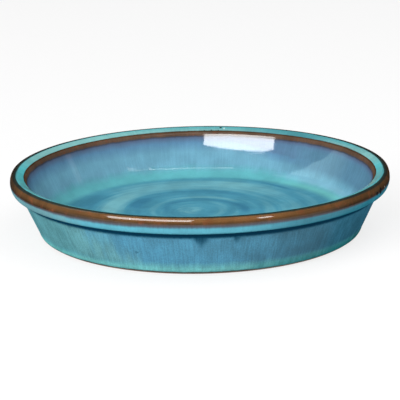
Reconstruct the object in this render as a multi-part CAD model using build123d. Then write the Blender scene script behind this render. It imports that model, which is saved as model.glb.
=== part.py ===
from build123d import *
from math import atan2, cos, pi, radians, tan
import os

# A round glazed plant saucer: a fired clay body and the coats of glaze fused to it.
# Millimetres, +Z up, origin on the ground at the centre of the foot.

# Finished size, over the glaze
rim_diameter = 254.0
overall_height = 42.2

# Clay wall, floor and foot
wall_flare = 14.4
wall_thickness = 6.0
floor_thickness = 7.7
foot_ring_width = 9.0
foot_recess = 1.6
recess_run = 1.5

# Collar, the thick rim that stands out from the wall
collar_height = 9.8
collar_step = 4.4
collar_swell = 1.4
collar_land = 3.6
lip_lean = 1.1
ridge_land = 2.8
rim_top_fall = 2.3

# Rounded corners of the clay
foot_rounding = 4.0
recess_rounding = 1.0
groove_rounding = 0.8
collar_edge_rounding = 1.2
belly_rounding = 8.0
ridge_rounding = 1.2
rim_top_rounding = 6.0
inner_edge_rounding = 2.5
floor_rounding = 10.0

# Glaze coats: their thickness, the interlayer where fired clay and glaze turn into each other,
# and where one coat gives way to the next
glaze_thickness = 0.5
interlayer = 0.1
glaze_line = 1.5
groove_lap = 1.6
lip_edge_height = 4.6
lip_edge_width = 3.0
inner_edge_width = 0.5
inner_edge_height = 2.8

# How far a zone reaches past the coat that it cuts out
overrun = 5.0

# A rounded corner takes up at most this share of the shorter line beside it
corner_share = 0.45

# Radii and heights of the clay that follow from the sizes above
coat_depth = interlayer + glaze_thickness
rim_radius = rim_diameter / 2 - coat_depth
lip_top = overall_height - coat_depth
collar_bottom = lip_top - collar_height
collar_edge_radius = rim_radius - collar_swell
wall_top_radius = collar_edge_radius - collar_step
ridge_radius = rim_radius - lip_lean
foot_radius = wall_top_radius - wall_flare
floor_top = foot_recess + floor_thickness
ring_radius = foot_radius - foot_ring_width
belly_middle = (collar_bottom + lip_top) / 2

# The wall leans out by this much for each millimetre of height
wall_run = wall_flare / collar_bottom
wall_lean = atan2(wall_run, 1)
wall_across = wall_thickness / cos(wall_lean)
inner_corner_height = lip_top - rim_top_fall


def outer_wall(height):
    """Radius of the clay wall's outside at a height."""
    return foot_radius + wall_run * height


def inner_wall(height):
    """Radius of the clay wall's inside at a height."""
    return outer_wall(height) - wall_across


def wall_middle(height):
    """Radius of the middle of the clay wall at a height."""
    return outer_wall(height) - wall_across / 2


def rounding_that_fits(before, corner, after, wanted):
    """The wanted radius, or the largest one that the lines beside the corner have room for."""
    back = Vector(*before) - Vector(*corner)
    ahead = Vector(*after) - Vector(*corner)
    room = corner_share * min(back.length, ahead.length)
    half_angle = radians(back.get_angle(ahead)) / 2
    return min(wanted, room * tan(half_angle))


def clay_section():
    """Half the clay's section, from the axis out, as one face of radius and height."""
    corners = [
        ((0, foot_recess), 0),
        ((ring_radius - recess_run, foot_recess), recess_rounding),
        ((ring_radius, 0), recess_rounding),
        ((foot_radius, 0), foot_rounding),
        ((wall_top_radius, collar_bottom), groove_rounding),
        ((collar_edge_radius, collar_bottom), collar_edge_rounding),
        ((rim_radius, belly_middle - collar_land / 2), belly_rounding),
        ((rim_radius, belly_middle + collar_land / 2), belly_rounding),
        ((ridge_radius, lip_top), ridge_rounding),
        ((ridge_radius - ridge_land, lip_top), rim_top_rounding),
        ((inner_wall(inner_corner_height), inner_corner_height), inner_edge_rounding),
        ((inner_wall(floor_top), floor_top), floor_rounding),
        ((0, floor_top), 0),
    ]
    points = [point for point, _ in corners]
    radii = [
        rounding_that_fits(points[i - 1], point, points[(i + 1) % len(points)], wanted)
        for i, (point, wanted) in enumerate(corners)
    ]
    return make_face(FilletPolyline(*points, radius=radii, close=True))


def polygon(*points):
    return make_face(Polyline(*points, close=True))


def inside_zone(low, high):
    """Everything on the inner side of the wall's middle, between two heights."""
    return polygon((0, low), (wall_middle(low), low), (wall_middle(high), high), (0, high))


def outside_zone(low, high):
    """Everything on the outer side of the wall's middle, between two heights."""
    past_rim = rim_radius + overrun
    return polygon((wall_middle(low), low), (past_rim, low), (past_rim, high), (wall_middle(high), high))


def rim_zone(inner, outer, low):
    """Everything between two radii, above a height in the collar."""
    above_lip = lip_top + overrun
    return polygon((inner, low), (outer, low), (outer, above_lip), (inner, above_lip))


def turned(section):
    """The solid that a section sweeps in one turn about the axis."""
    return revolve(Plane.XZ * section, Axis.Z)


clay = clay_section()
coat = offset(clay, coat_depth) - offset(clay, interlayer)

# Where the coats meet: up the inside, across the top of the rim and down the outside
hollow_rise = floor_rounding * tan((pi / 2 - wall_lean) / 2) * cos(wall_lean)
hollow_top = floor_top + hollow_rise
inner_edge_bottom = inner_corner_height - inner_edge_height
rim_top_inner = inner_wall(inner_corner_height) + inner_edge_width
rim_top_outer = ridge_radius - lip_edge_width
lip_edge_bottom = lip_top - lip_edge_height
collar_glaze_bottom = collar_bottom - groove_lap

zones = {
    "floor_glaze": inside_zone(floor_top - overrun, hollow_top),
    "inside_wall_glaze": inside_zone(hollow_top, inner_edge_bottom),
    "inner_edge_glaze": rim_zone(0, rim_top_inner, inner_edge_bottom),
    "rim_top_glaze": rim_zone(rim_top_inner, rim_top_outer, belly_middle),
    "lip_edge_glaze": rim_zone(rim_top_outer, rim_radius + overrun, lip_edge_bottom),
    "collar_glaze": outside_zone(collar_glaze_bottom, lip_edge_bottom),
    "outside_wall_glaze": outside_zone(glaze_line, collar_glaze_bottom),
}

nodes = {"clay_body": turned(clay)}
for name, zone in zones.items():
    nodes[name] = turned(coat & zone)

os.makedirs("parts", exist_ok=True)
for name, solid in nodes.items():
    export_step(solid, f"parts/{name}.step")
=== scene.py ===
import math

import bpy
import numpy as np
from mathutils import Matrix, Vector


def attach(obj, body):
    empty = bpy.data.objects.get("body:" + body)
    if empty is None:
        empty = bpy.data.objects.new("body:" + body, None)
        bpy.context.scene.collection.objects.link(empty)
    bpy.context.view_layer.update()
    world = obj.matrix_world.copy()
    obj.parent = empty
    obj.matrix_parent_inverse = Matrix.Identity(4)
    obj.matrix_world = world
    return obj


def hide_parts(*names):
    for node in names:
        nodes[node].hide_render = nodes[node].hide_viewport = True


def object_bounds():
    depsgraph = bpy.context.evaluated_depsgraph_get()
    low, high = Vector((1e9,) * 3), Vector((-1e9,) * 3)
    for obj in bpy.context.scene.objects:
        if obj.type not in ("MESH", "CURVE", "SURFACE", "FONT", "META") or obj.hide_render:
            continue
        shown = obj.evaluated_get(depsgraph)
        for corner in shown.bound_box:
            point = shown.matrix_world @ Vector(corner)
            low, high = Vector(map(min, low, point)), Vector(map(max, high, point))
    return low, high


# A glazed plant saucer. The finished surface, here called the skin, is turned from the section of the
# packed coats, softened as firing softens it, and given throwing rings, ripples and runs of glaze.
# Metres, +Z up. "Along" is the distance on the skin from the middle of the floor, over the rim, to
# the foot.
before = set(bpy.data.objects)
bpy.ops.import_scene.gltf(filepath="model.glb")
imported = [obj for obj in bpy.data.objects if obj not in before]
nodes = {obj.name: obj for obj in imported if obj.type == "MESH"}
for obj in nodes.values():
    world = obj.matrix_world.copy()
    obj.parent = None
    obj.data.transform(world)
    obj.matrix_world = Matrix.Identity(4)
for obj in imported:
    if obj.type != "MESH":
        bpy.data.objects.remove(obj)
cad_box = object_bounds()
MM = 0.001
TURN = 2 * math.pi

# The coats in their order along the skin, with the material slot of each
coats = {
    "floor_glaze": "floor_glaze",
    "inside_wall_glaze": "wall_glaze",
    "inner_edge_glaze": "brown_glaze",
    "rim_top_glaze": "rim_glaze",
    "lip_edge_glaze": "brown_glaze",
    "collar_glaze": "wall_glaze",
    "outside_wall_glaze": "wall_glaze",
}

# How finely the skin is cut up
columns = 576
floor_row = 0.75 * MM
wall_row = 0.35 * MM
hidden_row = 3 * MM
clay_columns = 288
clay_row = 1.2 * MM
fine_step = 0.05 * MM

# How far a fired edge is softened
glaze_softening = 0.6 * MM
clay_softening = 0.3 * MM

# Throwing rings and swirls of glaze on the floor, round a middle that is off the axis as the clay was
swirl_x = -7 * MM
swirl_y = 11 * MM
swirl_seed = 11
wheel_sway = 7 * MM
wheel_turn = math.radians(140)
wheel_span = 40 * MM
wheel_half = 20 * MM
ring_height = 0.03 * MM
ring_sway_shares = (0.9, 0.5)
ring_fade_share = 0.4
ring_colour_share = 0.25

# Waves of the rings: length and strength
ring_waves = [
    (6.5 * MM, 0.35),
    (10 * MM, 0.5),
    (16 * MM, 0.6),
    (27 * MM, 0.5),
]

# Broad strokes of glaze on the floor: distance from the middle of the swirl, bearing and half the
# bearing that it spans in degrees, half its width, how much darker it is, or paler where that is
# negative, and how much further out it lies at its end
floor_strokes = [
    (3 * MM, 0, 300, 6 * MM, -0.35, 0 * MM),
    (25 * MM, 95, 100, 3.5 * MM, 0.75, -11 * MM),
    (37.5 * MM, 8, 20, 3.5 * MM, 1.0, -1 * MM),
    (34 * MM, 75, 50, 4 * MM, -0.5, -4 * MM),
    (46 * MM, 105, 62, 5 * MM, 0.6, -6 * MM),
    (41 * MM, 150, 20, 6 * MM, 0.9, -3 * MM),
    (55 * MM, 163, 30, 8 * MM, -1.2, -2 * MM),
    (74 * MM, 159, 16, 7.5 * MM, 0.6, 0 * MM),
    (66 * MM, 96, 45, 12 * MM, -0.8, -3 * MM),
    (70 * MM, 50, 24, 10 * MM, -0.6, 0 * MM),
    (88 * MM, 57, 24, 2 * MM, 0.9, 3 * MM),
    (60 * MM, -60, 60, 12 * MM, -0.6, 6 * MM),
    (45 * MM, -130, 50, 9 * MM, 0.7, 5 * MM),
    (76 * MM, -20, 40, 10 * MM, -0.2, -4 * MM),
]

# Hollow, ripples and wobble of the walls
wall_hollow = 0.35 * MM
ripple_height = 0.008 * MM
ripple_run = 14 * MM
ripple_lobes = 24
ripple_seed = 1
wobble = 0.04 * MM
wobble_lobes = 4
wobble_run_share = 4
wobble_start_share = 0.5
wobble_seed = 3
wave_spread_shares = (0.7, 1.6)

# Runs of thick dark glaze under the collar: place round the saucer in degrees, half width at the top
# and length
drips = [
    (-90, 10 * MM, 17 * MM),
    (-79.2, 6 * MM, 13 * MM),
    (-134, 6 * MM, 8 * MM),
    (-116, 7 * MM, 8 * MM),
    (-52, 6 * MM, 7 * MM),
    (-25, 5 * MM, 8 * MM),
    (40, 9 * MM, 9 * MM),
    (110, 10 * MM, 7 * MM),
    (165, 8 * MM, 10 * MM),
]
drip_height = 0.12 * MM
drip_edge_shares = (-0.15, 0.6)
drip_top_shares = (-0.3, 0.1)
drip_strength_share = 0.8
drip_fading_share = 0.7

# Where the glaze slipped down the inside wall, and how far it did so there and in the hollow
slip_middle = math.radians(42)
slip_reach = math.radians(38)
slip_run = 7.5 * MM
hollow_run = 6 * MM

# The top of the rim at places round it in degrees: -1 is deep, 0 turquoise, 1 pale, partly a painted sheen,
# and 2 bright
rim_tints = [
    (0, 1.8),
    (14, 1.0),
    (32, 0.0),
    (50, -0.9),
    (66, -0.6),
    (84, 0.0),
    (110, 0.45),
    (135, 1.0),
    (160, 1.1),
    (180, 2.0),
    (205, 1.6),
    (250, -0.2),
    (310, 0.1),
    (340, 1.2),
]

# How far the lip's colours lie further out than usual, or further in, at places round it in degrees
lip_drifts = [
    (0, -0.5 * MM),
    (25, -0.6 * MM),
    (50, -0.3 * MM),
    (90, 0.0 * MM),
    (130, -0.3 * MM),
    (160, -0.5 * MM),
    (180, -0.3 * MM),
    (190, 0.4 * MM),
    (205, 1.0 * MM),
    (235, 0.5 * MM),
    (270, 0.0 * MM),
    (305, 0.5 * MM),
    (335, 1.0 * MM),
    (350, 0.4 * MM),
]

# How much painted shade darkens the lip at places round it in degrees, from 0 to 1, most at the sides where
# the lip turns away
lip_shades = [
    (10, 0.9),
    (35, 0.3),
    (150, 0.3),
    (172, 1.0),
    (190, 0.95),
    (203, 0.55),
    (222, 0.5),
    (240, 0.4),
    (260, 0.05),
    (285, 0.15),
    (320, 0.48),
    (345, 0.7),
]

# Where the outside is green and where it is slate, and where the inside is deeper. The green's span
# and end are radians past its bound. A patch has its full strength within the core share of its reach.
green_bound = math.radians(-125)
green_slant = math.radians(18)
green_fade = math.radians(17)
green_span = 1.6
green_end = 2.4
slate_middle = math.radians(-36)
slate_reach = math.radians(55)
deep_middle = math.radians(20)
deep_reach = math.radians(50)
patch_core_share = 0.3

# The dark of the groove: dark glaze pooled there, and painted shade under the collar's overhang
crevice_run = 1.2 * MM
crevice_fade = 4.0 * MM

# The rolled edge where the glaze ends above the foot
roll_height = 0.15 * MM
roll_run = 2.2 * MM
roll_width_share = 0.5
feather_run = 0.8 * MM
feather_depth = 0.35 * MM

# Camera, as fitted to the outline in the photograph
camera_distance = 1.3
camera_elevation = math.radians(15.077)
camera_roll = 0.0175
camera_centre = Vector((0, 0, 0.020))
camera_aim = Vector((-0.00017, 0, 0.0196))
lens_mm = 173.73
sensor_mm = 36


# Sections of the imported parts

seam_tolerance = 0.001 * MM
merge_distance = 0.004 * MM


def seam_points(node):
    """The node's points on the half plane where its turned faces start, as radius and height."""
    places = np.empty(len(node.data.vertices) * 3, np.float32)
    node.data.vertices.foreach_get("co", places)
    places = places.reshape(-1, 3).astype(float)
    on_seam = (np.abs(places[:, 1]) < seam_tolerance) & (places[:, 0] > 0)
    return places[on_seam][:, [0, 2]]


def section_outline(node):
    """A solid's half section in order, from the axis on top of its floor round to the axis underneath."""
    mesh = node.data
    points = []
    links = []

    def find(place):
        for i, known in enumerate(points):
            if math.dist(known, place) < merge_distance:
                return i
        points.append(place)
        links.append(set())
        return len(points) - 1

    for edge in mesh.edges:
        ends = [mesh.vertices[i].co for i in edge.vertices]
        if all(abs(end.y) < seam_tolerance and end.x > 0 for end in ends):
            first, last = [find((end.x, end.z)) for end in ends]
            if first != last:
                links[first].add(last)
                links[last].add(first)
    loose_ends = [i for i in range(len(points)) if len(links[i]) == 1]
    path = [max(loose_ends, key=lambda i: points[i][1])]
    while True:
        ahead = links[path[-1]] - set(path)
        if not ahead:
            break
        path.append(ahead.pop())
    line = [points[i] for i in path]
    return np.array([(0, line[0][1]), *line, (0, line[-1][1])])


def lengths(line):
    """The distance along a line to each of its points."""
    steps = np.linalg.norm(np.diff(line, axis=0), axis=1)
    return np.concatenate([[0], np.cumsum(steps)])


def nearest_on(line, points):
    """How far along a line the nearest place to each point is, and how far off the line the point lies."""
    run = np.diff(line, axis=0)
    size = np.linalg.norm(run, axis=1)
    offset = points[:, None] - line[:-1]
    share = np.clip((offset * run).sum(2) / size**2, 0, 1)
    gap = np.linalg.norm(offset - share[..., None] * run, axis=2)
    best = gap.argmin(1)
    rows = np.arange(len(points))
    return lengths(line)[best] + share[rows, best] * size[best], gap[rows, best]


def softened(line, softening):
    """The line at even fine steps, with its corners softened, and the distance along it."""
    walked = lengths(line)
    even = np.linspace(0, walked[-1], round(walked[-1] / fine_step) + 1)
    fine = np.stack([np.interp(even, walked, line[:, i]) for i in range(2)], axis=1)
    reach = round(3 * softening / fine_step)
    weights = np.exp(-0.5 * (np.arange(-reach, reach + 1) * fine_step / softening) ** 2)
    padded = np.pad(fine, ((reach, reach), (0, 0)), mode="reflect", reflect_type="odd")
    soft = [np.convolve(padded[:, i], weights / weights.sum(), mode="valid") for i in range(2)]
    return np.stack(soft, axis=1), even


clay_line = section_outline(nodes["clay_body"])
skin_line = []
clay_places = []
for coat in coats:
    points = seam_points(nodes[coat])
    walked, gap = nearest_on(clay_line, points)
    outer = gap > (gap.min() + gap.max()) / 2
    order = np.argsort(walked[outer])
    skin_line.extend(points[outer][order])
    clay_places.append((walked[outer].min(), walked[outer].max()))
    glaze_thickness = gap.max() - gap.min()
skin_line = np.array([(0, skin_line[0][1]), *skin_line])
new_place = np.concatenate([[True], np.diff(lengths(skin_line)) > merge_distance])
skin_line = skin_line[new_place]
skin, skin_along = softened(skin_line, glaze_softening)
skin_length = skin_along[-1]

# Where each coat starts and ends along the skin
place_on_clay, _ = nearest_on(clay_line, skin_line)
place_on_clay[0] = 0
starts = {}
ends = {}
for coat, (first, last) in zip(coats, clay_places):
    starts[coat] = np.interp(first, place_on_clay, lengths(skin_line))
    ends[coat] = np.interp(last, place_on_clay, lengths(skin_line))
starts["floor_glaze"] = 0
ends["outside_wall_glaze"] = skin_length


def place(coat, share):
    """The distance along the skin at a share of the way across a coat."""
    return starts[coat] + share * (ends[coat] - starts[coat])


# The grid of the skin: rows along it, columns round it

row_along = [0.0]
coat_rows = {}
for coat in coats:
    step = floor_row if coat == "floor_glaze" else wall_row
    count = math.ceil((ends[coat] - starts[coat]) / step)
    first_row = len(row_along) - 1
    row_along.extend(np.linspace(starts[coat], ends[coat], count + 1)[1:])
    coat_rows[coat] = (first_row, len(row_along) - 1)
row_along = np.array(row_along)
row_radius = np.interp(row_along, skin_along, skin[:, 0])
row_height = np.interp(row_along, skin_along, skin[:, 1])
heading = np.gradient(skin, axis=0)
heading /= np.linalg.norm(heading, axis=1)[:, None]
out_radius = np.interp(row_along, skin_along, -heading[:, 1])
out_height = np.interp(row_along, skin_along, heading[:, 0])
column_angle = np.arange(columns) * TURN / columns
angle = column_angle[None, :]
along = row_along[:, None]
radius = row_radius[:, None]
grid_shape = (len(row_along), columns)


def wander(turns, run, seed, waves=8):
    """A smooth random swell of about -1 to 1 over the skin, with up to so many waves in a turn."""
    draws = np.random.default_rng(seed)
    total = np.zeros(grid_shape)
    for _ in range(waves):
        lobes = draws.integers(1, turns + 1) * draws.choice((-1, 1))
        wavelength = run * draws.uniform(*wave_spread_shares)
        phase = draws.uniform(0, TURN)
        total += np.cos(lobes * angle + TURN * along / wavelength + phase)
    return total / math.sqrt(waves)


def step_up(values, low, high):
    """0 below low, 1 above high and a smooth rise between."""
    share = np.clip((values - low) / (high - low), 0, 1)
    return share * share * (3 - 2 * share)


def wrapped(angles):
    """Angles brought to within half a turn either way."""
    return (angles + math.pi) % TURN - math.pi


def patch(middle, reach):
    """1 near a place round the saucer, with a smooth fall to 0 at its reach."""
    return 1 - step_up(np.abs(wrapped(angle - middle)), patch_core_share * reach, reach)


def round_values(places):
    """Values all round the saucer, between those given at some places in degrees."""
    degrees, values = zip(*places)
    return np.interp(angle % TURN, np.radians(degrees), values, period=TURN)


# Throwing rings, which fade out before the floor turns up
floor_share = 1 - step_up(along, place("floor_glaze", 0.8), place("floor_glaze", 0.95))
floor_radius = row_radius[coat_rows["floor_glaze"][1]]
from_swirl_x = radius * np.cos(angle) - swirl_x
from_swirl_y = radius * np.sin(angle) - swirl_y
swirl_distance = np.hypot(from_swirl_x, from_swirl_y)
swirl_bearing = np.arctan2(from_swirl_y, from_swirl_x)
swirl_draws = np.random.default_rng(swirl_seed)
broad_sway, narrow_sway = ring_sway_shares
ring = np.zeros(grid_shape)
for wave, gain in ring_waves:
    lead, lag, phase = swirl_draws.uniform(0, TURN, 3)
    sway = broad_sway * np.cos(swirl_bearing + lead) + narrow_sway * np.cos(2 * swirl_bearing + lag)
    fading = 1 - ring_fade_share + ring_fade_share * np.cos(swirl_bearing + lag)
    ring += gain * fading * np.cos(TURN * swirl_distance / wave + sway + phase)
ring *= floor_share
stroke = np.zeros(grid_shape)
for distance, bearing, half_bearing, half_width, strength, drift_out in floor_strokes:
    aside = wrapped(swirl_bearing - math.radians(bearing)) / math.radians(half_bearing)
    off = (swirl_distance - distance - drift_out * aside) / half_width
    stroke += strength * np.exp(-aside**4 - off**2)

# Walls: hollow inside, rippled all over
wall_foot = starts["inside_wall_glaze"]
wall_share = (along - wall_foot) / (place("inner_edge_glaze", 0.4) - wall_foot)
hollow = np.clip(4 * wall_share * (1 - wall_share), 0, 1)
ripple_share = step_up(along, place("floor_glaze", 0.5), ends["floor_glaze"])
ripple_share = ripple_share - step_up(along, ends["inside_wall_glaze"], place("inner_edge_glaze", 0.5))
ripple_share = ripple_share + step_up(along, starts["outside_wall_glaze"], place("outside_wall_glaze", 0.2))
ripple = wander(ripple_lobes, ripple_run, ripple_seed) * ripple_share

# Runs of glaze that hang from the groove, the groove's dark glaze with painted shade under the collar, and
# the roll above the foot
groove = starts["outside_wall_glaze"]
drip = np.zeros(grid_shape)
for drip_angle, half_width, drip_length in drips:
    aside = np.abs(wrapped(angle - math.radians(drip_angle))) * radius / half_width
    below = (along - groove) / drip_length
    body = step_up(1 - below - aside, *drip_edge_shares) * step_up(below, *drip_top_shares)
    fading = np.clip(drip_strength_share - drip_fading_share * below, 0, 1)
    drip = np.maximum(drip, body * fading)
# The groove under the collar: dark pooled glaze, with painted shade where the collar overhangs
crevice_glaze_and_shade = step_up(along, place("collar_glaze", 0.3), place("collar_glaze", 0.76))
crevice_glaze_and_shade = crevice_glaze_and_shade * (1 - step_up(along, groove + crevice_run, groove + crevice_run + crevice_fade))
to_foot = skin_length - along
roll = np.exp(-((to_foot - roll_run) / (roll_width_share * roll_run)) ** 2)
feather = np.clip(1 - to_foot / feather_run, 0, 1) ** 2

rise = (
    ring_height * ring
    - wall_hollow * hollow
    + ripple_height * ripple
    + drip_height * drip
    + roll_height * roll
    - feather_depth * feather
)
swell = wander(wobble_lobes, wobble_run_share * skin_length, wobble_seed)
swell = wobble * (swell - swell.max())
swell = swell * step_up(radius, wobble_start_share * floor_radius, floor_radius)

skin_radius = radius + rise * out_radius[:, None] + swell
skin_height = row_height[:, None] + rise * out_height[:, None]
skin_grid = np.stack([skin_radius * np.cos(angle), skin_radius * np.sin(angle), skin_height], axis=2)
skin_grid[0] = (0, 0, skin_height[0].mean())

across = np.gradient(skin_grid, axis=0)
before = np.roll(skin_grid, 1, axis=1)
after = np.roll(skin_grid, -1, axis=1)
skin_normal = np.cross(across, after - before)
skin_normal[0] = (0, 0, 1)
skin_normal /= np.linalg.norm(skin_normal, axis=2)[..., None]


# Meshes turned from rows of points

def ring_faces(first_row, second_row, count):
    """Quads between two rows of vertices that go once round."""
    here = np.arange(count)
    ahead = (here + 1) % count
    return np.stack([first_row + here, second_row + here, second_row + ahead, first_row + ahead], axis=1)


def turned_mesh(name, rows, normals, values):
    """A closed mesh through rows of points, each once round the axis. The rows go round the section.
    A row on the axis becomes one point. Normals is a grid for the first rows, whose faces take them.
    Values are named grids for those rows, kept as attributes of the points."""
    count = rows[0].shape[0]
    on_axis = [np.abs(row[:, :2]).max() < seam_tolerance for row in rows]
    points = []
    first = []
    for row, single in zip(rows, on_axis):
        first.append(sum(len(part) for part in points))
        points.append(row[:1] if single else row)
    closed = not (on_axis[0] and on_axis[-1])
    pairs = [(i, (i + 1) % len(rows)) for i in range(len(rows) - (0 if closed else 1))]
    here = np.arange(count)
    ahead = (here + 1) % count
    faces = []
    face_rows = []
    for i, j in pairs:
        if on_axis[i] and on_axis[j]:
            continue
        if on_axis[i]:
            block = np.stack([np.full(count, first[i]), first[j] + here, first[j] + ahead], axis=1)
        elif on_axis[j]:
            block = np.stack([first[i] + here, np.full(count, first[j]), first[i] + ahead], axis=1)
        else:
            block = ring_faces(first[i], first[j], count)
        faces.extend(block.tolist())
        face_rows.append((i, j, len(block), block.shape[1], on_axis[i], on_axis[j]))
    mesh = bpy.data.meshes.new(name)
    mesh.from_pydata(np.concatenate(points).tolist(), [], faces)
    mesh.polygons.foreach_set("use_smooth", np.ones(len(mesh.polygons), bool))
    finish_turned(mesh, rows, face_rows, normals, values, on_axis, first)
    return mesh


def finish_turned(mesh, rows, face_rows, normals, values, on_axis, first):
    """Gives a turned mesh its bake map, its attributes and the normals of the whole skin."""
    count = rows[0].shape[0]
    here = np.arange(count)
    ahead = (here + 1) % count
    turn = here / count
    next_turn = (here + 1) / count
    middle = (turn + next_turn) / 2
    run = [0.0]
    for i in range(len(rows)):
        j = (i + 1) % len(rows)
        run.append(run[-1] + np.linalg.norm(rows[j] - rows[i], axis=1).max())
    run = np.array(run) / run[-1]
    shown = 0 if normals is None else len(normals)
    corner_normals = np.empty(len(mesh.loops) * 3, np.float32)
    mesh.corner_normals.foreach_get("vector", corner_normals)
    corner_normals = corner_normals.reshape(-1, 3)
    uvs = []
    start = 0
    for i, j, quantity, sides, single_i, single_j in face_rows:
        low = np.full(quantity, run[i])
        high = np.full(quantity, run[i + 1])
        if single_i:
            corners = [(middle, low), (turn, high), (next_turn, high)]
            looks_at = [(i, here), (j, here), (j, ahead)]
        elif single_j:
            corners = [(turn, low), (middle, high), (next_turn, low)]
            looks_at = [(i, here), (j, here), (i, ahead)]
        else:
            corners = [(turn, low), (turn, high), (next_turn, high), (next_turn, low)]
            looks_at = [(i, here), (j, here), (j, ahead), (i, ahead)]
        uvs.append(np.stack([np.stack(corner, axis=1) for corner in corners], axis=1).reshape(-1, 2))
        stop = start + quantity * sides
        if i < shown and j < shown and j == i + 1:
            block = np.stack([normals[row][column] for row, column in looks_at], axis=1)
            corner_normals[start:stop] = block.reshape(-1, 3)
        start = stop
    uv_map = mesh.uv_layers.new(name="OFBake")
    uv_map.data.foreach_set("uv", np.concatenate(uvs).astype(np.float32).ravel())
    if shown:
        mesh.normals_split_custom_set(corner_normals.tolist())
    for key, grid in values.items():
        width = 1 if grid.ndim == 2 else 3
        kept = np.zeros((len(mesh.vertices), width), np.float32)
        for i in range(len(rows)):
            source = i if i < len(grid) else nearest_shown_row(rows, i, len(grid))
            size = 1 if on_axis[i] else count
            kept[first[i]:first[i] + size] = grid[source][:size].reshape(size, width)
        kind, field = ("FLOAT", "value") if width == 1 else ("FLOAT_VECTOR", "vector")
        mesh.attributes.new(key, kind, "POINT").data.foreach_set(field, kept.ravel())


def nearest_shown_row(rows, hidden, shown):
    """The visible row that lies nearest to a hidden one."""
    return min(range(shown), key=lambda i: np.linalg.norm(rows[i][0] - rows[hidden][0]))


# What the glaze does over the skin, for the materials

# How far the bounds between colours wander along the skin
flow_places = [
    (0, 2.0 * MM),
    (place("floor_glaze", 0.8), 3.0 * MM),
    (place("inside_wall_glaze", 0.3), 3.0 * MM),
    (place("inside_wall_glaze", 0.8), 1.2 * MM),
    (place("inner_edge_glaze", 0), 0.7 * MM),
    (place("rim_top_glaze", 0), 0.35 * MM),
    (place("lip_edge_glaze", 0), 0.25 * MM),
    (place("lip_edge_glaze", 1), 0.5 * MM),
    (place("collar_glaze", 0.6), 0.6 * MM),
    (place("outside_wall_glaze", 0.1), 2.0 * MM),
    (place("outside_wall_glaze", 0.7), 1.8 * MM),
    (place("outside_wall_glaze", 0.95), 1.2 * MM),
    (place("outside_wall_glaze", 1), 0.3 * MM),
]
flow = np.interp(row_along, *zip(*flow_places))[:, None] * np.ones(grid_shape)
rim_radius = cad_box[1][0]
around = np.stack([
    rim_radius * np.cos(angle) + 0 * along,
    rim_radius * np.sin(angle) + 0 * along,
    along + 0 * angle,
], axis=2)
wheel_size = wheel_span * swirl_distance / (swirl_distance + wheel_half)
wheel_run = swirl_distance + wheel_sway * np.cos(swirl_bearing - wheel_turn)
wheel = np.stack([
    wheel_size * np.cos(swirl_bearing),
    wheel_size * np.sin(swirl_bearing),
    wheel_run,
], axis=2)

# The outside is greener on one side, past a bound that slants down the wall, and slate on the other,
# and the inside is deeper on one side
down_share = (along - groove) / (skin_length - groove)
bound = green_bound + green_slant * down_share
past_bound = wrapped(bound - angle)
green_side = step_up(past_bound, -green_fade, green_fade)
green_side = green_side * (1 - step_up(past_bound, green_span, green_end))
slate_side = patch(slate_middle, slate_reach)
deep_side = patch(deep_middle, deep_reach)
side = np.where(along < starts["rim_top_glaze"], -deep_side, green_side - slate_side)

# The top of the rim is paler in places, partly a painted sheen, and deeper in others, and the lip takes
# painted shade in places
tint = np.where(along < starts["lip_edge_glaze"], round_values(rim_tints), -round_values(lip_shades))

# The mauve under the brown edge reaches further down the inside where the glaze slipped, and the
# wall's blue reaches further into the hollow on the deeper side
up_wall = step_up(along, place("inside_wall_glaze", 0.1), place("inside_wall_glaze", 0.4))
up_hollow = step_up(along, place("floor_glaze", 0.86), place("floor_glaze", 0.95))
slip = slip_run * patch(slip_middle, slip_reach) * up_wall
slip = np.maximum(slip, hollow_run * deep_side * up_hollow * (1 - up_wall))

# The lip's colours lie further out in places
lip_drift = round_values(lip_drifts)
drift_share = step_up(along, place("rim_top_glaze", 0.3), starts["lip_edge_glaze"])
drift_share = drift_share * (1 - step_up(along, place("collar_glaze", 0.2), place("collar_glaze", 0.6)))
slip = np.where(along < starts["rim_top_glaze"], slip, -lip_drift * drift_share)
skin_values = {
    "along": along * np.ones(grid_shape),
    "flow": flow,
    "swirl": stroke + ring_colour_share * ring,
    "thick_and_shaded": np.maximum(drip, crevice_glaze_and_shade),
    "slip": slip * np.ones(grid_shape),
    "side": side * np.ones(grid_shape),
    "tint": tint * np.ones(grid_shape),
    "around": around,
    "wheel": wheel,
}


# Materials

def add(tree, kind, values=None, **settings):
    """A new node. Values are sockets to link or constants to set, by the input's name or number."""
    made = tree.nodes.new(kind)
    for key, value in settings.items():
        setattr(made, key, value)
    for key, value in (values or {}).items():
        if isinstance(value, bpy.types.NodeSocket):
            tree.links.new(value, made.inputs[key])
        else:
            made.inputs[key].default_value = value
    return made


def sum_of(tree, operation, first, second, third=None):
    """The output of a Math node."""
    values = {0: first, 1: second}
    if third is not None:
        values[2] = third
    return add(tree, "ShaderNodeMath", values, operation=operation).outputs[0]


def mixed(tree, share, first, second, blend="MIX"):
    """The output of a Mix node of two colours."""
    values = {0: share, 6: first, 7: second}
    return add(tree, "ShaderNodeMix", values, data_type="RGBA", blend_type=blend).outputs[2]


def attribute(tree, name, output="Fac"):
    return add(tree, "ShaderNodeAttribute", attribute_name=name).outputs[output]


def noise(tree, places, size, stretch=(1, 1, 1), detail=4, roughness=0.55):
    """Noise whose spots are about so many metres across, stretched along the axes of its places."""
    scaled = add(tree, "ShaderNodeVectorMath", {0: places, 1: stretch}, operation="MULTIPLY").outputs[0]
    values = {"Vector": scaled, "Scale": 1 / size, "Detail": detail, "Roughness": roughness}
    return add(tree, "ShaderNodeTexNoise", values).outputs["Fac"]


def spread(tree, value, low, high, to_low=0.0, to_high=1.0):
    """The value carried smoothly from one range to another."""
    values = {"Value": value, "From Min": low, "From Max": high, "To Min": to_low, "To Max": to_high}
    return add(tree, "ShaderNodeMapRange", values, interpolation_type="SMOOTHSTEP").outputs[0]


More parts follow.
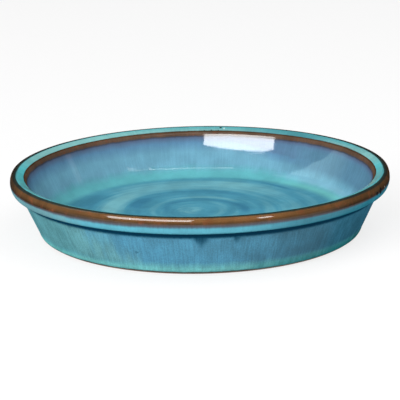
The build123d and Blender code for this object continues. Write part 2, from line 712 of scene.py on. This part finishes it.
def ramp(tree, value, stops):
    """A colour ramp through stops of place and colour."""
    low, high = stops[0][0], stops[-1][0]
    values = {"Value": value, "From Min": low, "From Max": high}
    share = add(tree, "ShaderNodeMapRange", values).outputs[0]
    made = add(tree, "ShaderNodeValToRGB", {"Fac": share})
    band = made.color_ramp
    while len(band.elements) < len(stops):
        band.elements.new(1)
    for element, (at, colour) in zip(band.elements, stops):
        element.position = (at - low) / (high - low)
        element.color = (*colour, 1)
    return made.outputs["Color"]


# The colours of the glaze, as linear light
floor_deep = (0.038, 0.165, 0.255)
floor_blue = (0.06, 0.235, 0.32)
floor_pale = (0.135, 0.35, 0.40)
hollow_teal = (0.092, 0.335, 0.372)
hollow_mint = (0.135, 0.43, 0.42)
sky_blue = (0.138, 0.325, 0.43)
upper_blue = (0.1, 0.225, 0.35)
deep_wall = (0.088, 0.2, 0.29)
mauve = (0.085, 0.12, 0.20)
dark_mauve = (0.05, 0.055, 0.07)
brown = (0.155, 0.073, 0.025)
rust = (0.17, 0.05, 0.022)
inner_brown = (0.105, 0.062, 0.041)
dark_brown = (0.05, 0.026, 0.011)
# Painted shade on the lip
lip_shade_brown = (0.022, 0.018, 0.014)
navy = (0.017, 0.031, 0.028)
turquoise = (0.12, 0.345, 0.36)
rim_inner = (0.18, 0.37, 0.37)
rim_outer = (0.08, 0.33, 0.36)
rim_edge = (0.045, 0.055, 0.05)
# Pale turquoise, partly a painted sheen
rim_pale_sheen = (0.2, 0.455, 0.45)
rim_deep = (0.056, 0.23, 0.265)
rim_bright = (0.09, 0.52, 0.57)
pale_blue = (0.065, 0.30, 0.39)
collar_deep = (0.028, 0.19, 0.26)
collar_grey = (0.11, 0.25, 0.285)
collar_mauve = (0.05, 0.09, 0.12)
wall_blue = (0.05, 0.20, 0.30)
wall_green = (0.085, 0.245, 0.275)
slate = (0.031, 0.135, 0.205)
foot_green = (0.105, 0.345, 0.35)
foot_dull = (0.024, 0.19, 0.21)
# Dark end of the glaze at the foot, with painted contact shade
foot_line_and_shade = (0.03, 0.04, 0.035)
# Navy of the runs and of the groove, where it is partly painted shade
groove_navy = (0.001, 0.03, 0.062)
blotch_black = (0.008, 0.01, 0.012)
chip_white = (0.5, 0.62, 0.6)
nick_grey = (0.3, 0.27, 0.25)
nick_tan = (0.4, 0.33, 0.28)

# The colours of the bare clay
clay_dark = (0.12, 0.065, 0.04)
clay_pale = (0.19, 0.11, 0.068)
grog_dark = (0.06, 0.035, 0.025)

# Small flaws: the coat, the place round the saucer in degrees, the share of the way across the coat,
# the size and the colour
flaws = [
    ("rim_top_glaze", 82.5, 0.8, 1.1 * MM, navy),
    ("rim_top_glaze", 81.2, 0.55, 0.8 * MM, chip_white),
    ("rim_top_glaze", 88.2, 0.1, 0.5 * MM, navy),
    ("rim_top_glaze", 85.4, 0.14, 0.6 * MM, navy),
    ("rim_top_glaze", 83.2, 0.12, 0.5 * MM, navy),
    ("rim_top_glaze", -150, 0.6, 0.5 * MM, navy),
    ("lip_edge_glaze", -26, 1.0, 1.5 * MM, blotch_black),
    ("collar_glaze", -26, 0.0, 1.5 * MM, blotch_black),
    ("lip_edge_glaze", -23, 0.95, 2.2 * MM, blotch_black),
    ("collar_glaze", -23, 0.04, 2.0 * MM, blotch_black),
    ("lip_edge_glaze", -18.5, 0.97, 0.9 * MM, nick_grey),
    ("lip_edge_glaze", -110, 0.6, 0.5 * MM, nick_tan),
    ("lip_edge_glaze", 128, 0.5, 1.0 * MM, navy),
    ("floor_glaze", -40, 0.3, 1.2 * MM, floor_deep),
    ("outside_wall_glaze", -110.5, 0.52, 1.2 * MM, slate),
    ("outside_wall_glaze", 75, 0.5, 1.1 * MM, slate),
]

# Which colour lies where: the coat, the share of the way across it, and the colour there
colour_shares = [
    ("floor_glaze", 0.0, floor_blue),
    ("floor_glaze", 0.82, floor_blue),
    ("floor_glaze", 0.93, hollow_teal),
    ("floor_glaze", 0.968, hollow_teal),
    ("inside_wall_glaze", 0.15, sky_blue),
    ("inside_wall_glaze", 0.5, sky_blue),
    ("inside_wall_glaze", 0.8, upper_blue),
    ("inside_wall_glaze", 0.97, mauve),
    ("inner_edge_glaze", 0.08, dark_mauve),
    ("inner_edge_glaze", 0.26, inner_brown),
    ("inner_edge_glaze", 0.66, inner_brown),
    ("inner_edge_glaze", 0.9, dark_brown),
    ("rim_top_glaze", 0.0, rim_edge),
    ("rim_top_glaze", 0.14, rim_inner),
    ("rim_top_glaze", 0.45, turquoise),
    ("rim_top_glaze", 1.0, rim_outer),
    ("lip_edge_glaze", 0.02, rim_outer),
    ("lip_edge_glaze", 0.1, navy),
    ("lip_edge_glaze", 0.31, navy),
    ("lip_edge_glaze", 0.41, brown),
    ("lip_edge_glaze", 0.6, brown),
    ("lip_edge_glaze", 0.86, dark_brown),
    ("lip_edge_glaze", 1.0, dark_mauve),
    ("collar_glaze", 0.05, collar_mauve),
    ("collar_glaze", 0.16, pale_blue),
    ("collar_glaze", 1.0, pale_blue),
    ("outside_wall_glaze", 0.0, wall_blue),
    ("outside_wall_glaze", 0.72, wall_blue),
    ("outside_wall_glaze", 0.9, foot_green),
    ("outside_wall_glaze", 0.955, foot_green),
    # The dark line at the foot: the glaze's dark end, with painted contact shade
    ("outside_wall_glaze", 0.985, foot_line_and_shade),
    ("outside_wall_glaze", 1.0, foot_line_and_shade),
]
colour_stops = [(place(coat, share), colour) for coat, share, colour in colour_shares]
ramp_margin = 6 * MM


def stops_near(low, high):
    """The colour stops from one place along the skin to another, with stops at both."""
    places, colours = zip(*colour_stops)
    channels = list(zip(*colours))

    def between(at):
        return tuple(float(np.interp(at, places, channel)) for channel in channels)

    inner = [(at, colour) for at, colour in colour_stops if low < at < high]
    return [(low, between(low)), *inner, (high, between(high))]


# How strongly each coat is streaked along the skin and speckled, how rough it is, and how much it reflects
looks = {
    "floor_glaze": (0.0, 0.03, 0.07, 0.25),
    "inside_wall_glaze": (0.05, 0.03, 0.04, 0.6),
    "inner_edge_glaze": (0.06, 0.06, 0.06, 0.5),
    "rim_top_glaze": (0.05, 0.03, 0.06, 0.5),
    "lip_edge_glaze": (0.05, 0.05, 0.05, 0.4),
    "collar_glaze": (0.05, 0.03, 0.06, 0.35),
    "outside_wall_glaze": (0.13, 0.11, 0.09, 0.25),
}

# The gloss fades out as a coat turns away from the eye, between these shares of the turn
gloss_fade_shares = {
    "floor_glaze": (0.3, 0.6),
    "inside_wall_glaze": (0.2, 0.5),
    "inner_edge_glaze": (0.04, 0.2),
    "lip_edge_glaze": (0.12, 0.4),
    "collar_glaze": (0.15, 0.6),
    "outside_wall_glaze": (0.15, 0.6),
}

# Coats that take the dark runs of glaze and the groove's dark glaze with its painted shade, and coats whose
# colours slip
thick_and_shaded_coats = ("collar_glaze", "outside_wall_glaze")
drifting_coats = ("floor_glaze", "rim_top_glaze", "lip_edge_glaze", "collar_glaze")
slip_limit_share = 0.88

# Where the brown coats are brown and may be rusty
brown_shares = {"inner_edge_glaze": (0.2, 0.85), "lip_edge_glaze": (0.4, 0.9)}
brown_fade_share = 0.1
rust_width = 5 * MM
rust_range = (0.5, 0.75)
rust_share = 0.6

# Where the lip may take its painted shade, and how far at most
lip_shade_line_shares = (0.12, 0.3)
lip_shade_share = 0.9

# Patterns in the glaze
mottle_shares = {"outside_wall_glaze": 0.14, "inner_edge_glaze": 0.16, "lip_edge_glaze": 0.16}
usual_mottle_share = 0.08
streak_width = 1.3 * MM
streak_stretch = (1, 1, 0.1)
drift_width = 9 * MM
drift_stretch = (1, 1, 0.35)
mottle_width = 16 * MM
speckle_width = 0.8 * MM
peel_width = 6 * MM
peel_height = 0.012 * MM
brush_width = 3.5 * MM
brush_stretch = (0.12, 0.12, 1)

# The range that most of a noise lies in, and how strongly noise pulls and frays the colours
noise_range = (0.3, 0.7)
streak_pull_share = 0.5
pull_middle = 0.75
flow_gain = 2.0
brush_gain = 1.2
shade_gain = 0.8
side_gain = 1.2
thick_and_shaded_fray_share = 0.5

# How dark the hanging glaze and the groove's painted shade are, and how dull the gloss is there
thick_and_shaded_range = (0.25, 1.15)
dull_range = (0.0, 0.7)
dull_share = 0.05

# How far the mint of the hollow goes, and how far past its size a flaw fades out
mint_share = 0.8
flaw_shares = (1.6, 1.1)

# The glaze's index of refraction, and how much rougher its roughest specks are
glaze_ior = 1.55
rough_gain = 1.4

# The bare clay
clay_mottle_width = 14 * MM
grog_width = 0.9 * MM
grog_height = 0.1 * MM
grog_range = (0.6, 0.72)
grog_bump_share = 0.5
clay_roughness = (0.68, 0.85)


def tone(tree, colour, value, depth):
    """A colour made darker and lighter by a share, as a value of about 0.3 to 0.7 goes up."""
    if depth == 0:
        return colour
    factor = spread(tree, value, *noise_range, 1 - depth, 1 + depth)
    return mixed(tree, 1.0, colour, factor, "MULTIPLY")


def frayed(tree, value, pattern, gain):
    """A value made ragged by a noise, by up to half the gain either way."""
    moved = sum_of(tree, "MULTIPLY_ADD", pattern, gain, value)
    return sum_of(tree, "SUBTRACT", moved, gain / 2)


def from_to(tree, value, coat, first_share, last_share):
    """A smooth rise from 0 to 1, from one share of the way across a coat to another."""
    return spread(tree, value, place(coat, first_share), place(coat, last_share))


def glaze_material(coat):
    """The reactive glaze over one coat: colours that run along the skin, streaked, mottled and pooled."""
    streak_depth, speckle_depth, roughness, gloss = looks[coat]
    material = bpy.data.materials.new(coat)
    material.use_nodes = True
    tree = material.node_tree
    tree.nodes.clear()
    around_places = attribute(tree, "around", "Vector")
    spots = add(tree, "ShaderNodeTexCoord").outputs["Object"]
    streaks = noise(tree, around_places, streak_width, streak_stretch, detail=3)
    drifts = noise(tree, around_places, drift_width, drift_stretch, detail=3)
    mottle = noise(tree, spots, mottle_width, detail=2)
    speckle = noise(tree, spots, speckle_width, detail=2)
    pull = sum_of(tree, "MULTIPLY_ADD", streaks, streak_pull_share, drifts)
    pull = sum_of(tree, "SUBTRACT", pull, pull_middle)
    shift = sum_of(tree, "MULTIPLY", pull, attribute(tree, "flow"))
    moved = sum_of(tree, "MULTIPLY_ADD", shift, flow_gain, attribute(tree, "along"))
    if coat == "inside_wall_glaze":
        slipped = sum_of(tree, "ADD", moved, attribute(tree, "slip"))
        slipped = sum_of(tree, "MINIMUM", slipped, place(coat, slip_limit_share))
        moved = sum_of(tree, "MAXIMUM", moved, slipped)
    if coat in drifting_coats:
        moved = sum_of(tree, "ADD", moved, attribute(tree, "slip"))
    low = max(0, starts[coat] - ramp_margin)
    high = min(skin_length, ends[coat] + ramp_margin)
    colour = ramp(tree, moved, stops_near(low, high))
    if coat == "floor_glaze":
        colour = pooled(tree, colour)
    if coat == "rim_top_glaze":
        colour = tinted(tree, colour)
    if coat == "lip_edge_glaze":
        colour = shaded_lip(tree, colour, moved)
    if coat == "inside_wall_glaze":
        colour = shaded(tree, colour, drifts)
    if coat == "collar_glaze":
        colour = sided(tree, colour, drifts, collar_grey, collar_deep)
    if coat == "outside_wall_glaze":
        colour = sided(tree, colour, drifts, wall_green, slate)
    if coat in brown_shares:
        rusty = spread(tree, noise(tree, spots, rust_width, detail=3), *rust_range, 0.0, rust_share)
        rusty = sum_of(tree, "MULTIPLY", rusty, brown_here(tree, coat, moved))
        colour = mixed(tree, rusty, colour, (*rust, 1))
    colour = tone(tree, colour, streaks, streak_depth)
    colour = tone(tree, colour, mottle, mottle_shares.get(coat, usual_mottle_share))
    colour = tone(tree, colour, speckle, speckle_depth)
    # Dark runs of glaze, and the groove's pooled glaze with painted shade under the collar
    if coat in thick_and_shaded_coats:
        ragged = sum_of(tree, "MULTIPLY_ADD", streaks, thick_and_shaded_fray_share, attribute(tree, "thick_and_shaded"))
        colour = mixed(tree, spread(tree, ragged, *thick_and_shaded_range), colour, (*groove_navy, 1))
    colour = flawed(tree, colour, coat, spots, speckle)
    peel = noise(tree, spots, peel_width, detail=1)
    bump = add(tree, "ShaderNodeBump", {"Height": peel, "Strength": 1.0, "Distance": peel_height})
    surface = add(tree, "ShaderNodeBsdfPrincipled", {
        "Base Color": colour,
        "Roughness": spread(tree, speckle, *noise_range, roughness, rough_gain * roughness),
        "IOR": glaze_ior,
        "Specular IOR Level": gloss,
        "Normal": bump.outputs["Normal"],
    })
    if coat in gloss_fade_shares:
        facing = add(tree, "ShaderNodeLayerWeight", {"Blend": 0.5}).outputs["Facing"]
        level = spread(tree, facing, *gloss_fade_shares[coat], gloss, 0.0)
        if coat in thick_and_shaded_coats:
            dull = spread(tree, attribute(tree, "thick_and_shaded"), *dull_range, 1.0, dull_share)
            level = sum_of(tree, "MULTIPLY", level, dull)
        tree.links.new(level, surface.inputs["Specular IOR Level"])
    add(tree, "ShaderNodeOutputMaterial", {"Surface": surface.outputs[0]})
    return material


def brown_here(tree, coat, moved):
    """1 where a brown coat is brown, 0 in the dark lines beside that."""
    first, last = brown_shares[coat]
    into = from_to(tree, moved, coat, first - brown_fade_share, first + brown_fade_share)
    out = from_to(tree, moved, coat, last + brown_fade_share, last - brown_fade_share)
    return sum_of(tree, "MULTIPLY", into, out)


def tinted(tree, colour):
    """The colour of the top of the rim, paler in places, partly a painted sheen, and deeper or brighter in
    others.
    """
    tint_here = attribute(tree, "tint")
    colour = mixed(tree, spread(tree, tint_here, 0.0, 1.0), colour, (*rim_pale_sheen, 1))
    colour = mixed(tree, spread(tree, tint_here, 0.0, -1.0), colour, (*rim_deep, 1))
    return mixed(tree, spread(tree, tint_here, 1.0, 2.0), colour, (*rim_bright, 1))


def shaded_lip(tree, colour, moved):
    """The lip's colour, with painted shade in places past its dark line."""
    share = spread(tree, attribute(tree, "tint"), 0.0, -1.0, 0.0, lip_shade_share)
    past_line = from_to(tree, moved, "lip_edge_glaze", *lip_shade_line_shares)
    share = sum_of(tree, "MULTIPLY", share, past_line)
    return mixed(tree, share, colour, (*lip_shade_brown, 1))


def pooled(tree, colour):
    """The floor's colour, in swirls that are dark where the glaze pools and pale where it is thin."""
    brushed = noise(tree, attribute(tree, "wheel", "Vector"), brush_width, brush_stretch, detail=3)
    depth = frayed(tree, attribute(tree, "swirl"), brushed, brush_gain)
    swirls = ramp(tree, depth, [(-1.0, floor_pale), (0.0, floor_blue), (1.0, floor_deep)])
    here = attribute(tree, "along")
    inner = from_to(tree, here, "floor_glaze", 0.93, 0.83)
    minty = from_to(tree, here, "floor_glaze", 0.975, 0.91)
    deeper = spread(tree, attribute(tree, "side"), 0.0, -1.0, 0.0, mint_share)
    minty = sum_of(tree, "MULTIPLY", minty, deeper)
    colour = mixed(tree, minty, colour, (*hollow_mint, 1))
    return mixed(tree, inner, colour, swirls)


def shaded(tree, colour, drifts):
    """The inside wall's colour, deeper on one side, with a ragged bound."""
    ragged = frayed(tree, attribute(tree, "side"), drifts, shade_gain)
    here = attribute(tree, "along")
    below_edge = from_to(tree, here, "inside_wall_glaze", 0.98, 0.75)
    above_foot = from_to(tree, here, "inside_wall_glaze", 0.0, 0.35)
    body = sum_of(tree, "MULTIPLY", below_edge, above_foot)
    deeper = sum_of(tree, "MULTIPLY", body, spread(tree, ragged, 0.0, -1.0))
    return mixed(tree, deeper, colour, (*deep_wall, 1))


def sided(tree, colour, drifts, green_colour, slate_colour):
    """The outside's colour, greener on one side and slate on the other, with ragged bounds."""
    ragged = frayed(tree, attribute(tree, "side"), drifts, side_gain)
    here = attribute(tree, "along")
    above_foot = from_to(tree, here, "outside_wall_glaze", 0.92, 0.74)
    below_lip = from_to(tree, here, "collar_glaze", 0.04, 0.16)
    body = sum_of(tree, "MULTIPLY", above_foot, below_lip)
    low = from_to(tree, here, "outside_wall_glaze", 0.74, 0.92)
    green = spread(tree, ragged, 0.2, 1.0)
    dull = spread(tree, ragged, -0.1, -1.1)
    colour = mixed(tree, sum_of(tree, "MULTIPLY", body, green), colour, (*green_colour, 1))
    colour = mixed(tree, sum_of(tree, "MULTIPLY", body, dull), colour, (*slate_colour, 1))
    return mixed(tree, sum_of(tree, "MULTIPLY", low, dull), colour, (*foot_dull, 1))


def flawed(tree, colour, coat, spots, speckle):
    """The colour with the coat's small chips and pinholes."""
    outer_share, inner_share = flaw_shares
    for flaw_coat, flaw_angle, share, size, flaw_colour in flaws:
        if flaw_coat != coat:
            continue
        row = np.abs(row_along - place(coat, share)).argmin()
        column = round(math.radians(flaw_angle) / TURN * columns) % columns
        middle = tuple(float(value) for value in skin_grid[row, column])
        reach = add(tree, "ShaderNodeVectorMath", {0: spots, 1: middle}, operation="DISTANCE")
        off = sum_of(tree, "MULTIPLY_ADD", speckle, size, reach.outputs["Value"])
        mask = spread(tree, off, outer_share * size, inner_share * size)
        colour = mixed(tree, mask, colour, (*flaw_colour, 1))
    return colour


def clay_material():
    """Bare fired clay, brown and slightly rough, with specks of grog."""
    material = bpy.data.materials.new("fired_clay")
    material.use_nodes = True
    tree = material.node_tree
    tree.nodes.clear()
    spots = add(tree, "ShaderNodeTexCoord").outputs["Object"]
    mottle = noise(tree, spots, clay_mottle_width, detail=5)
    grog = noise(tree, spots, grog_width, detail=3)
    colour = mixed(tree, mottle, (*clay_dark, 1), (*clay_pale, 1))
    colour = mixed(tree, spread(tree, grog, *grog_range), colour, (*grog_dark, 1))
    bump_values = {"Height": grog, "Strength": grog_bump_share, "Distance": grog_height}
    bump = add(tree, "ShaderNodeBump", bump_values)
    surface = add(tree, "ShaderNodeBsdfPrincipled", {
        "Base Color": colour,
        "Roughness": spread(tree, grog, *noise_range, *clay_roughness),
        "Normal": bump.outputs["Normal"],
    })
    add(tree, "ShaderNodeOutputMaterial", {"Surface": surface.outputs[0]})
    return material


# Pieces

def piece(name, mesh, material, node):
    """A piece of the saucer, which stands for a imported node."""
    mesh.materials.append(material)
    made = bpy.data.objects.new(name, mesh)
    bpy.context.scene.collection.objects.link(made)
    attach(made, "root")
    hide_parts(node)


def coat_mesh(coat):
    """One coat as a closed skin: its rows of the visible grid, and fewer rows on the hidden side."""
    first, last = coat_rows[coat]
    shown = [skin_grid[i] for i in range(first, last + 1)]
    hidden_count = max(2, math.ceil((ends[coat] - starts[coat]) / hidden_row) + 1)
    hidden = []
    for i in np.linspace(last, first, hidden_count).round().astype(int):
        back_radius = np.full(columns, row_radius[i] - glaze_thickness * out_radius[i])
        back_height = np.full(columns, row_height[i] - glaze_thickness * out_height[i])
        if row_radius[i] == 0:
            back_radius[:] = 0
        hidden.append(np.stack([
            back_radius * np.cos(column_angle),
            back_radius * np.sin(column_angle),
            back_height,
        ], axis=1))
    values = {key: grid[first:last + 1] for key, grid in skin_values.items()}
    return turned_mesh(coat, shown + hidden, skin_normal[first:last + 1], values)


def clay_mesh():
    """The clay, turned from its own section."""
    line, walked = softened(clay_line, clay_softening)
    count = math.ceil(walked[-1] / clay_row)
    places = np.linspace(0, walked[-1], count + 1)
    radii = np.interp(places, walked, line[:, 0])
    heights = np.interp(places, walked, line[:, 1])
    turns = np.arange(clay_columns) * TURN / clay_columns
    rows = [
        np.stack([r * np.cos(turns), r * np.sin(turns), np.full(clay_columns, h)], axis=1)
        for r, h in zip(radii, heights)
    ]
    return turned_mesh("clay_body", rows, None, {})


piece("clay", clay_mesh(), clay_material(), "clay_body")
for coat, slot in coats.items():
    piece(coat.replace("_glaze", "_coat"), coat_mesh(coat), glaze_material(coat), coat)


# Studio

lamp_distance = 2.0
umbrella_colour = (0.6, 0.97, 1.0)
world_grey = (0.04, 0.04, 0.04, 1)


def direction(azimuth, elevation):
    """From the saucer, with the azimuth from the camera's side round to the right."""
    flat = math.cos(elevation)
    return Vector((flat * math.sin(azimuth), -flat * math.cos(azimuth), math.sin(elevation)))


def softbox(name, azimuth, elevation, wide, high, radiance, roll=0.0, lights=True, reflects=True):
    """A soft lamp that faces the saucer and spans so many degrees across and up from there. It can be
    kept from lighting the colours, or from being seen in the gloss."""
    lamp = bpy.data.lights.new(name, "AREA")
    lamp.shape = "RECTANGLE"
    lamp.size = 2 * lamp_distance * math.tan(math.radians(wide) / 2)
    lamp.size_y = 2 * lamp_distance * math.tan(math.radians(high) / 2)
    lamp.energy = radiance * math.pi * lamp.size * lamp.size_y
    made = bpy.data.objects.new(name, lamp)
    bpy.context.scene.collection.objects.link(made)
    towards = direction(math.radians(azimuth), math.radians(elevation))
    turn = towards.to_track_quat("Z", "Y").to_matrix() @ Matrix.Rotation(math.radians(roll), 3, "Z")
    made.matrix_world = Matrix.Translation(camera_centre + lamp_distance * towards) @ turn.to_4x4()
    made.visible_camera = False
    made.visible_diffuse = lights
    made.visible_glossy = reflects
    return made


# Lamps: azimuth and elevation, degrees across and up, and radiance
softbox("key_softbox", -31, 26.9, 47, 17.5, 12, roll=5.55)
softbox("left_fill", -118, 28, 62, 37, 0.9, reflects=False)
softbox("front_panel", 0, 68, 100, 52, 1.33, reflects=False)
softbox("right_panel", 110, 58, 50, 36, 1.6, reflects=False)
softbox("right_softbox", 38, 22, 8, 8, 14)
umbrella = softbox("left_umbrella", -129.7, 25, 83, 40, 2.0, roll=41, lights=False)
umbrella.data.color = umbrella_colour
softbox("strip_left", -9.9, 47.8, 30, 2.4, 3.2, roll=4.5, lights=False)
softbox("strip_middle", 29.6, 44.2, 24.5, 1.8, 4.0, roll=-18.6, lights=False)
softbox("strip_right", 53.3, 37.9, 15.7, 0.6, 2.0, roll=-17.1, lights=False)
softbox("side_strip", 106.4, 17, 5, 11, 0.6, lights=False)

world = bpy.data.worlds.new("studio")
bpy.context.scene.world = world
world.use_nodes = True
world.node_tree.nodes["Background"].inputs["Color"].default_value = world_grey

floor_size = 12.0
floor_drop = 0.05 * MM
floor_white_share = 0.78
floor_grey = (0.88, 0.88, 0.88, 1)
floor_white = (1, 1, 1, 1)


def floor_material():
    """A pale sweep that looks white and still takes the saucer's shadow."""
    material = bpy.data.materials.new("pale_floor")
    material.use_nodes = True
    tree = material.node_tree
    tree.nodes.clear()
    path = add(tree, "ShaderNodeLightPath").outputs
    seen = sum_of(tree, "MAXIMUM", path["Is Camera Ray"], path["Is Glossy Ray"])
    seen = sum_of(tree, "MAXIMUM", seen, path["Is Transmission Ray"])
    share = sum_of(tree, "MULTIPLY", seen, floor_white_share)
    matt = add(tree, "ShaderNodeBsdfDiffuse", {"Color": floor_grey})
    white = add(tree, "ShaderNodeEmission", {"Color": floor_white, "Strength": 1.0})
    both = add(tree, "ShaderNodeMixShader", {0: share, 1: matt.outputs[0], 2: white.outputs[0]})
    add(tree, "ShaderNodeOutputMaterial", {"Surface": both.outputs[0]})
    return material


def floor():
    """A large flat floor that the saucer stands on."""
    half = floor_size / 2
    corners = [(-half, -half), (half, -half), (half, half), (-half, half)]
    mesh = bpy.data.meshes.new("floor")
    mesh.from_pydata([(x, y, -floor_drop) for x, y in corners], [], [(0, 1, 2, 3)])
    mesh.materials.append(floor_material())
    made = bpy.data.objects.new("floor", mesh)
    bpy.context.scene.collection.objects.link(made)


def camera():
    """The camera, where the photograph was taken from."""
    lens = bpy.data.cameras.new("camera")
    lens.lens = lens_mm
    lens.sensor_width = sensor_mm
    made = bpy.data.objects.new("camera", lens)
    bpy.context.scene.collection.objects.link(made)
    stand = camera_centre + camera_distance * direction(0, camera_elevation)
    back = (stand - camera_aim).normalized()
    right = Vector((0, 0, 1)).cross(back).normalized()
    up = back.cross(right)
    c, s = math.cos(camera_roll), math.sin(camera_roll)
    axes = Matrix((c * right - s * up, s * right + c * up, back)).transposed()
    made.matrix_world = Matrix.Translation(stand) @ axes.to_4x4()
    bpy.context.scene.camera = made


floor()
camera()
bpy.context.scene.view_settings.view_transform = "Standard"
